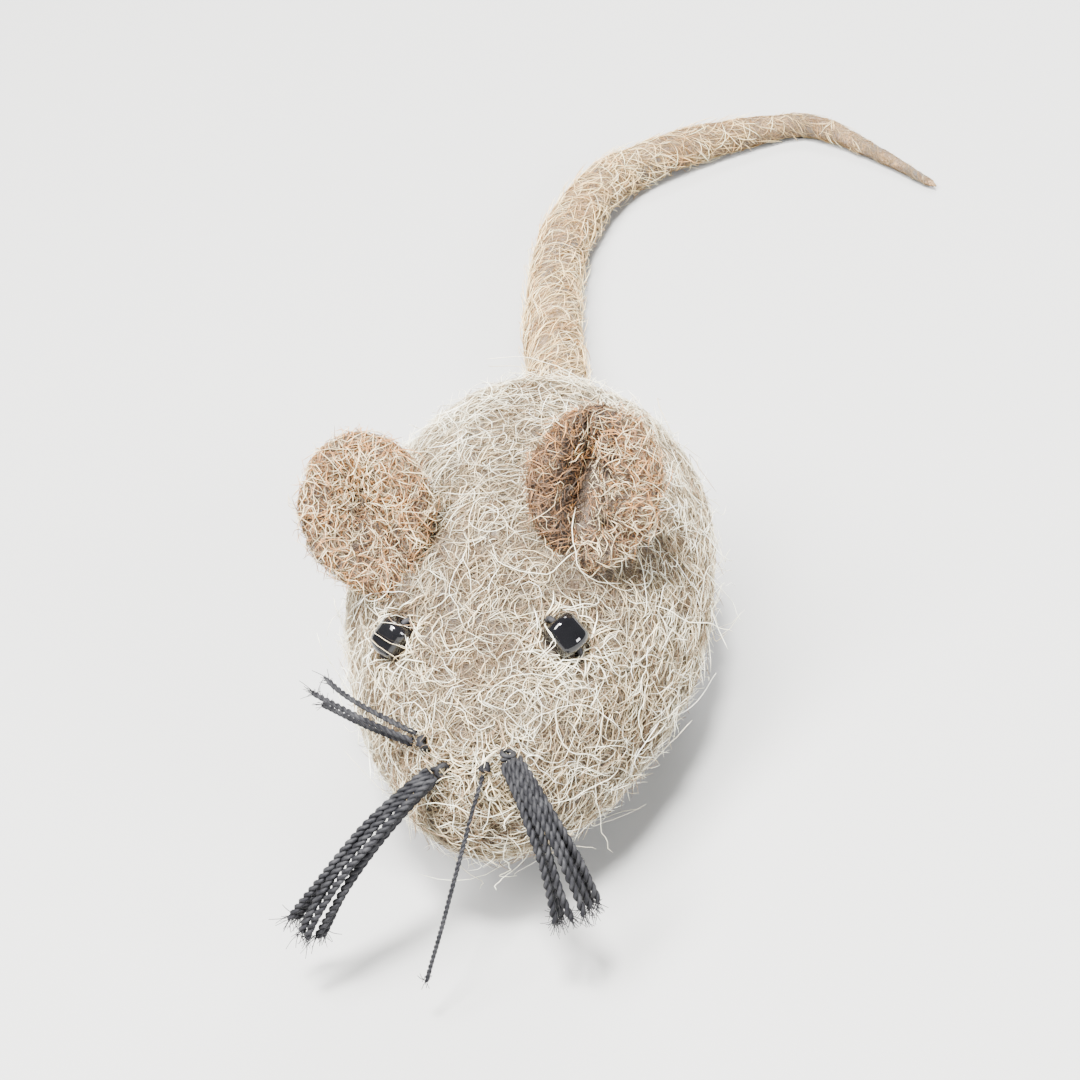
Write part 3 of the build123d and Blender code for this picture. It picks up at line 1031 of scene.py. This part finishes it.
def tail_course():
    """The tail's joints from its root to its tip, and the rope's radius at each."""
    names = ["tail_lift", "tail_swing", "tail_curl"] + [f"tail_curl_{number}" for number in range(3, 10)]
    joints = [joint_place(name) for name in names]
    low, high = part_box("tail_10")
    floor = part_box("tail_2")[0].z
    radii = [(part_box(f"tail_{number}")[1].z - floor) / 2 for number in range(2, 11)]
    thin = low.z - floor + 0.53 * MM
    tip = np.array((high.x - thin, low.y + thin, floor + thin))
    return np.array(joints + [tip]), np.array([radii[0] * 1.015] + radii + [thin])


def tail_line(stations):
    """The tail's middle line, radius and run at each station, which is counted in joints from the root."""
    joints, radii = tail_course()
    padded_line = np.concatenate([[2 * joints[0] - joints[1]], joints, [2 * joints[-1] - joints[-2]]])
    number = np.clip(np.floor(stations).astype(int), 0, len(joints) - 2)
    share = (stations - number)[:, None]
    before, here, after, later = (padded_line[number + step] for step in range(4))
    slope = after - before
    square = 2 * before - 5 * here + 4 * after - later
    cube = 3 * here - before - 3 * after + later
    line = 0.5 * (2 * here + slope * share + square * share**2 + cube * share**3)
    run = 0.5 * (slope + 2 * square * share + 3 * cube * share**2)
    return line, np.interp(stations, np.arange(len(radii)), radii), unit(run)


def rope_shape(first, last, closed_start, closed_end):
    """A stretch of the felt rope, with its lumps, closed where it really ends."""
    rings = max(8, int((last - first) * ROPE_RINGS))
    stations = np.linspace(first, last, rings)
    line, radius, run = tail_line(stations)
    radius = radius - 0.18 * MM * np.minimum(1, radius / (2 * MM))
    if closed_end:
        radius = radius * np.sqrt(np.clip((last - stations) / 0.12, 0.02, 1))
    if closed_start:
        radius = radius * (1 + 0.45 * (0.35 - stations).clip(0, 1) ** 1.5)
        radius = radius * np.sqrt(np.clip((stations - first) / 0.15, 0.02, 1))
    side, up = square_to(run, (0, 0, 1.0))
    turn = np.linspace(0, 2 * pi, ROPE_SIDES, endpoint=False)
    out = side[:, None] * np.cos(turn)[:, None] + up[:, None] * np.sin(turn)[:, None]
    points = (line[:, None] + out * radius[:, None, None]).reshape(-1, 3)
    lump = MM * lumps(points, ((0.24, 5, 51), (0.12, 2, 52)))
    lump *= np.repeat(np.minimum(1, radius / (2.4 * MM)), ROPE_SIDES)
    return points + out.reshape(-1, 3) * lump[:, None], tube_faces(rings, ROPE_SIDES)


class MOUSE_OT_tail(bpy.types.Operator):
    """Makes the tail's felt rope and its fibres in stretches, each about one joint"""
    bl_idname = "mouse.tail"
    bl_label = "Tail"

    def execute(self, context):
        settings, body = context.scene.mouse_tail, context.scene.mouse_body
        joints, _ = tail_course()
        # Painted shade: the felt under the fibres is darker tan with the body's deep colour, so the gaps between
        # the fibres look shaded.
        felt = felt_material("Tail felt", np.array(settings.tan) * 0.75, body.deep, 220.0)
        wool = fibre_material("Tail fibres", 0.2)
        count = len(joints) - 1
        ends = [TAIL_START] + [number + 0.5 for number in range(count - 1)] + [float(count)]
        ropes = []
        for number in range(count):
            shape = rope_shape(ends[number], ends[number + 1], number == 0, number == count - 1)
            ropes.append(painted(mesh_object(f"tail_rope_{number + 1}", *shape), felt))
        surface = Surface(*ropes)
        self.fibres(settings, surface, np.array(ends), wool)
        for number, rope in enumerate(ropes):
            self.bend(rope, number)
            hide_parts(f"tail_{number + 1}")
        return {"FINISHED"}

    def bend(self, piece, number):
        """Applies the stretch's world transform to its mesh."""
        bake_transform(piece)

    def fibres(self, settings, surface, ends, wool):
        """Fibres that wind along the rope, in one piece for each of its stretches."""
        rng = np.random.default_rng(61)
        count = settings.fibres
        along = np.linspace(-0.3, ends[-1], 400)
        lines, radii, runs = tail_line(along)
        roots = surface.scatter(count, rng)
        near = np.linalg.norm(roots[:, None] - lines[None], axis=2).argmin(axis=1)
        winding = unit(np.cross(runs[near], roots - lines[near]))
        headings = runs[near] + 0.75 * winding + rng.normal(0, 0.4, (count, 3))
        thick = np.minimum(1, radii[near] / (3 * MM))
        heights = arched(rng, count, 7, 0.03 * MM, 0.36 * MM, 0.12 * MM)
        loose = rng.random(count) < 0.2
        heights[loose] = free_ended(rng, loose.sum(), 7, 0.3 * MM, 1.3 * MM, 0.12 * MM)
        heights *= thick[:, None]
        lengths = rng.uniform(3.0, 7.0, count) * MM * (0.5 + 0.5 * thick)
        points = grow(surface, roots, headings, lengths, rng.normal(0, 0.9, count), heights, rng, 0.12)
        extra, reach, high = self.root_loops(settings, surface, rng)
        shade_depths = buried(np.concatenate([heights, high]), 0.35 * MM)
        station = np.concatenate([along[near], reach])
        thin = rng.uniform(0.022, 0.05, count) * MM * (0.7 + 0.3 * thick)
        radii = np.concatenate([thin, np.full(len(extra), 0.045 * MM)])
        points = above_floor(np.concatenate([points, extra]))
        patch = soft_noise(points[:, 0], 4 * MM, 63)
        white = np.clip(0.30 - 0.25 * patch, 0.05, 0.7)
        tan = np.clip(0.30 + 0.35 * patch, 0.03, 0.8) * (1 - white)
        tones = three_wools(settings, rng, white, tan)
        for number in range(len(ends) - 1):
            chosen = (station >= ends[number]) & (station < ends[number + 1] + 1e-6)
            piece = fibre_piece(f"tail_fibres_{number + 1}", points[chosen], radii[chosen], tones[chosen],
                                shade_depths[chosen])
            painted(piece, wool)
            self.bend(piece, number)

    def root_loops(self, settings, surface, rng):
        """Loose loops that stand out round the tail's root."""
        count = settings.fuzz
        reach = rng.uniform(-0.25, 0.85, count)
        line, radius, run = tail_line(reach)
        out = flattened(rng.normal(size=(count, 3)), run)
        heights = free_ended(rng, count, 7, 0.8 * MM, 3.0 * MM, 0.12 * MM)
        lengths = rng.uniform(3.0, 8.0, count) * MM
        start = line + out * radius[:, None]
        headings = rng.normal(size=(count, 3))
        points = grow(surface, start, headings, lengths, rng.normal(0, 3.5, count), heights, rng)
        return points, reach, heights


# ---- eyes ----

class MOUSE_OT_eyes(bpy.types.Operator):
    """Gives the bead eyes and their stitches their materials"""
    bl_idname = "mouse.eyes"
    bl_label = "Eyes"

    def execute(self, context):
        glass = ((0.001, 0.001, 0.0012, 1), (0.005, 0.005, 0.006, 1))
        bead = mottled_material("Black glass bead", 420.0, 1.0, glass, (0.04, 0.12), (0.25, 0.08 * MM))
        thread = floss_material("Black thread", (0.02, 0.02, 0.022))
        for side in SIDES:
            painted(frame["nodes"][f"eye_bead_{side}"], bead)
            painted(frame["nodes"][f"eye_stitch_{side}"], thread)
        return {"FINISHED"}


# ---- whiskers ----

def strand_line(node, knot, steps):
    """The middle line of a strand, from its knot end to its tip, smoothed from its solid."""
    places = np.array([vertex.co for vertex in frame["nodes"][node].data.vertices])
    away = np.linalg.norm(places - knot, axis=1)
    fits = np.polyfit(away, places, 2)
    stations = np.linspace(away.min(), away.max(), steps)[:, None]
    return fits[0] * stations**2 + fits[1] * stations + fits[2]


def twisted(line, offset, turns, phase):
    """A path that winds round a line at that offset."""
    side, other = square_to(unit(np.gradient(line, axis=0)), (0.2, 0.9, 0.38))
    angle = (np.linspace(0, 2 * pi * turns, len(line)) + phase)[:, None]
    return line + offset * (side * np.cos(angle) + other * np.sin(angle))


class MOUSE_OT_whiskers(bpy.types.Operator):
    """Makes the whisker bunches out of twisted floss with frayed ends"""
    bl_idname = "mouse.whiskers"
    bl_label = "Whiskers"

    def execute(self, context):
        settings = context.scene.mouse_whiskers
        floss = floss_material("Black floss", settings.black)
        rng = np.random.default_rng(71)
        for bunch in BUNCHES:
            knot = node_middle(f"whisker_knot_{bunch}")
            nodes = frame["record"]["behaviour"]["bodies"][f"whiskers_{bunch}"]
            lines = [strand_line(node, knot, 60) for node in nodes]
            for number, node in enumerate(nodes):
                cords = [lines[number]]
                if number and bunch != "right_upper":
                    cords.append((lines[number] + lines[number - 1]) / 2)
                self.strand(settings, bunch, node, cords, floss, rng)
            self.knot(settings, bunch, knot, floss, rng)
        painted(frame["nodes"]["whisker_tie"], floss)
        return {"FINISHED"}

    def strand(self, settings, bunch, node, cords, floss, rng):
        """The piece for one strand's cords: its own, and maybe one between it and the strand before."""
        thin = BUNCHES[bunch]
        ply = settings.ply_radius * thin
        parts = []
        for line in cords:
            length = np.linalg.norm(np.diff(line, axis=0), axis=1).sum()
            turns = length / (settings.twist * thin)
            steps = int(turns * 10) + 2
            share = np.linspace(0, 1, steps)
            old = np.linspace(0, 1, len(line))
            line = np.stack([np.interp(share, old, places) for places in line.T], axis=1)
            wander = [soft_noise(line + rng.uniform(0, 1), 6 * MM, seed) for seed in (81, 82, 83)]
            line = line + 0.4 * MM * share[:, None] * np.stack(wander, axis=1)
            phase = rng.uniform(0, 2 * pi)
            plies = np.stack([twisted(line, 0.82 * ply, turns, phase + turn) for turn in (0, pi)])
            radii = np.full(plies.shape[:2], ply)
            radii[:, -1] *= 0.5
            parts += [tube_mesh(plies, radii, PLY_SIDES), self.frayed(line, ply, rng, thin)]
        sizes = np.cumsum([0] + [len(points) for points, _ in parts[:-1]])
        faces = np.concatenate([faces + size for size, (_, faces) in zip(sizes, parts)])
        piece = mesh_object(f"{node}_floss", np.concatenate([points for points, _ in parts]), faces)
        painted(piece, floss)
        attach(piece, f"whiskers_{bunch}")
        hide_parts(node)

    def frayed(self, line, ply, rng, thin):
        """Fine threads that come loose at the tip."""
        count = FRAYED_THREADS
        steps = 6
        tip = line[-1]
        aim = unit(tip - line[-3])
        spread = rng.normal(0, 0.42, (count, 3))
        start = tip - aim * rng.uniform(0.2, 1.0, (count, 1)) * MM + rng.normal(0, 0.5, (count, 3)) * ply
        headings = unit(aim + spread)
        along = np.linspace(0, 1, steps)[None, :, None]
        reach = rng.uniform(0.8, 2.0, (count, 1, 1)) * MM * thin
        droop = rng.normal(0, 0.35, (count, 1, 3)) * MM
        paths = start[:, None] + headings[:, None] * reach * along + droop * along**2
        radii = np.full((count, steps), 0.045 * MM) * np.linspace(1, 0.6, steps)
        return tube_mesh(paths, radii, 4)

    def knot(self, settings, bunch, centre, floss, rng):
        """Floss wound several times round itself."""
        low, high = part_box(f"whisker_knot_{bunch}")
        radius = (high - low).x / 2
        turn = np.linspace(0, 2 * pi, 33)
        loops = []
        for _ in range(KNOT_LOOPS):
            axis = unit(rng.normal(size=3))
            side, other = square_to(axis, (0.3, 0.5, 0.8))
            middle = centre + axis * rng.uniform(-0.4, 0.4) * radius
            loop = side * np.cos(turn)[:, None] + other * np.sin(turn)[:, None]
            loops.append(middle + rng.uniform(0.3, 0.6) * radius * loop)
        loops = np.array(loops)
        points, faces = tube_mesh(loops, np.full(loops.shape[:2], settings.ply_radius), PLY_SIDES)
        piece = mesh_object(f"knot_{bunch}_floss", points, faces)
        painted(piece, floss)
        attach(piece, "body")
        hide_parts(f"whisker_knot_{bunch}")


# ---- inside ----

class MOUSE_OT_filling(bpy.types.Operator):
    """Gives the wool core and the catnip their materials"""
    bl_idname = "mouse.filling"
    bl_label = "Filling"

    def execute(self, context):
        settings = context.scene.mouse_body
        core = felt_material("Core wool", settings.white, settings.cream, 120.0)
        painted(frame["nodes"]["core_wool"], core)
        leaf = ((0.10, 0.13, 0.05, 1), (0.36, 0.38, 0.18, 1))
        catnip = mottled_material("Crushed catnip", 800.0, 4.0, leaf, (0.7, 0.95), (1.0, 0.5 * MM))
        painted(frame["nodes"]["catnip_fill"], catnip)
        return {"FINISHED"}


# ---- stage ----

# Name, kind, place, power, a sun's angle or a panel's sides, and colour.
LIGHTS = (
    ("key_light", "AREA", (-0.14, -0.20, 0.52), 18.5, (0.16, 0.42), (1.0, 0.985, 0.96)),
    ("sun_light", "SUN", (0.03, -0.10, 0.55), 17.0, radians(10), (1.0, 0.99, 0.96)),
    ("fill_light", "AREA", (0.48, -0.25, 0.30), 7.0, (0.2, 0.2), (0.98, 0.99, 1.0)),
    ("back_light", "AREA", (0.10, 0.50, 0.45), 6.0, (0.2, 0.2), (1.0, 1.0, 1.0)),
)
LIT_PLACE = Vector((0, 0.02, 0.015))
FLOOR_HALF = 1.5


def stage_light(name, kind, place, power, size, tint):
    """A light that looks at the mouse."""
    light = bpy.data.lights.new(name, kind)
    light.energy = power
    light.color = tint
    if kind == "SUN":
        light.angle = size
    else:
        light.shape = "RECTANGLE"
        light.size, light.size_y = size
    holder = bpy.data.objects.new(name, light)
    bpy.context.scene.collection.objects.link(holder)
    holder.location = place
    holder.rotation_mode = "QUATERNION"
    holder.rotation_quaternion = (LIT_PLACE - Vector(place)).to_track_quat("-Z", "Y")


class MOUSE_OT_stage(bpy.types.Operator):
    """Makes the floor, the lights and the camera"""
    bl_idname = "mouse.stage"
    bl_label = "Stage"

    def execute(self, context):
        settings = context.scene.mouse_stage
        corners = np.array([(-1, -1, 0), (1, -1, 0), (1, 1, 0), (-1, 1, 0)]) * FLOOR_HALF
        floor = mesh_object("floor", corners, np.array([[0, 1, 2, 3]]))
        specks = [0.94 * tone + 0.024 for tone in settings.floor]
        paper = ((*settings.floor, 1), (*specks, 1))
        painted(floor, mottled_material("Pale paper", 240.0, 4.0, paper, (0.7, 0.9)))
        world = context.scene.world or bpy.data.worlds.new("Studio")
        context.scene.world = world
        world.use_nodes = True
        self.sky(world.node_tree)
        for light in LIGHTS:
            stage_light(*light)
        self.camera(context, settings)
        return {"FINISHED"}

    def sky(self, tree):
        """A pale backdrop that lights the mouse less than it looks."""
        lit = tree.nodes["Background"]
        lit.inputs["Color"].default_value = (0.92, 0.95, 1.0, 1)
        lit.inputs["Strength"].default_value = 0.3
        seen = tree.nodes.new("ShaderNodeBackground")
        seen.inputs["Color"].default_value = (0.98, 0.98, 1.0, 1)
        seen.inputs["Strength"].default_value = 1.6
        mix = tree.nodes.new("ShaderNodeMixShader")
        tree.links.new(tree.nodes.new("ShaderNodeLightPath").outputs["Is Camera Ray"], mix.inputs["Fac"])
        tree.links.new(lit.outputs[0], mix.inputs[1])
        tree.links.new(seen.outputs[0], mix.inputs[2])
        tree.links.new(mix.outputs[0], tree.nodes["World Output"].inputs["Surface"])

    def camera(self, context, settings):
        """A camera that looks at its target from the set angles."""
        turn, lift, roll = settings.azimuth, settings.elevation, settings.roll
        back = Vector((sin(turn) * cos(lift), -cos(turn) * cos(lift), sin(lift)))
        level = Vector((cos(turn), sin(turn), 0))
        upright = back.cross(level)
        right = level * cos(roll) + upright * sin(roll)
        camera = bpy.data.objects.new("camera", bpy.data.cameras.new("camera"))
        context.scene.collection.objects.link(camera)
        rotation = Matrix((right, back.cross(right), back)).transposed().to_4x4()
        camera.matrix_world = Matrix.Translation(Vector(settings.target) + back * settings.away) @ rotation
        camera.data.lens = settings.lens
        camera.data.clip_start = 0.01
        context.scene.camera = camera


# ---- add-on ----

OPERATORS = (MOUSE_OT_body, MOUSE_OT_ears, MOUSE_OT_tail, MOUSE_OT_eyes, MOUSE_OT_whiskers, MOUSE_OT_filling,
             MOUSE_OT_stage)


class MOUSE_PT_panel(bpy.types.Panel):
    """Lists the mouse's pieces"""
    bl_idname = "MOUSE_PT_panel"
    bl_label = "Felted Mouse"
    bl_space_type = "VIEW_3D"
    bl_region_type = "UI"
    bl_category = "Felted Mouse"

    def draw(self, context):
        for operator in OPERATORS:
            self.layout.operator(operator.bl_idname)


CLASSES = (*SETTINGS.values(), *OPERATORS, MOUSE_PT_panel)


def register():
    for item in CLASSES:
        bpy.utils.register_class(item)
    for name, group in SETTINGS.items():
        setattr(bpy.types.Scene, name, PointerProperty(type=group))


def unregister():
    for name in SETTINGS:
        delattr(bpy.types.Scene, name)
    for item in reversed(CLASSES):
        bpy.utils.unregister_class(item)


def main():
    register()
    bpy.ops.mouse.body()
    bpy.ops.mouse.ears()
    bpy.ops.mouse.tail()
    bpy.ops.mouse.eyes()
    bpy.ops.mouse.whiskers()
    bpy.ops.mouse.filling()
    bpy.ops.mouse.stage()


if __name__ == "__main__":
    main()
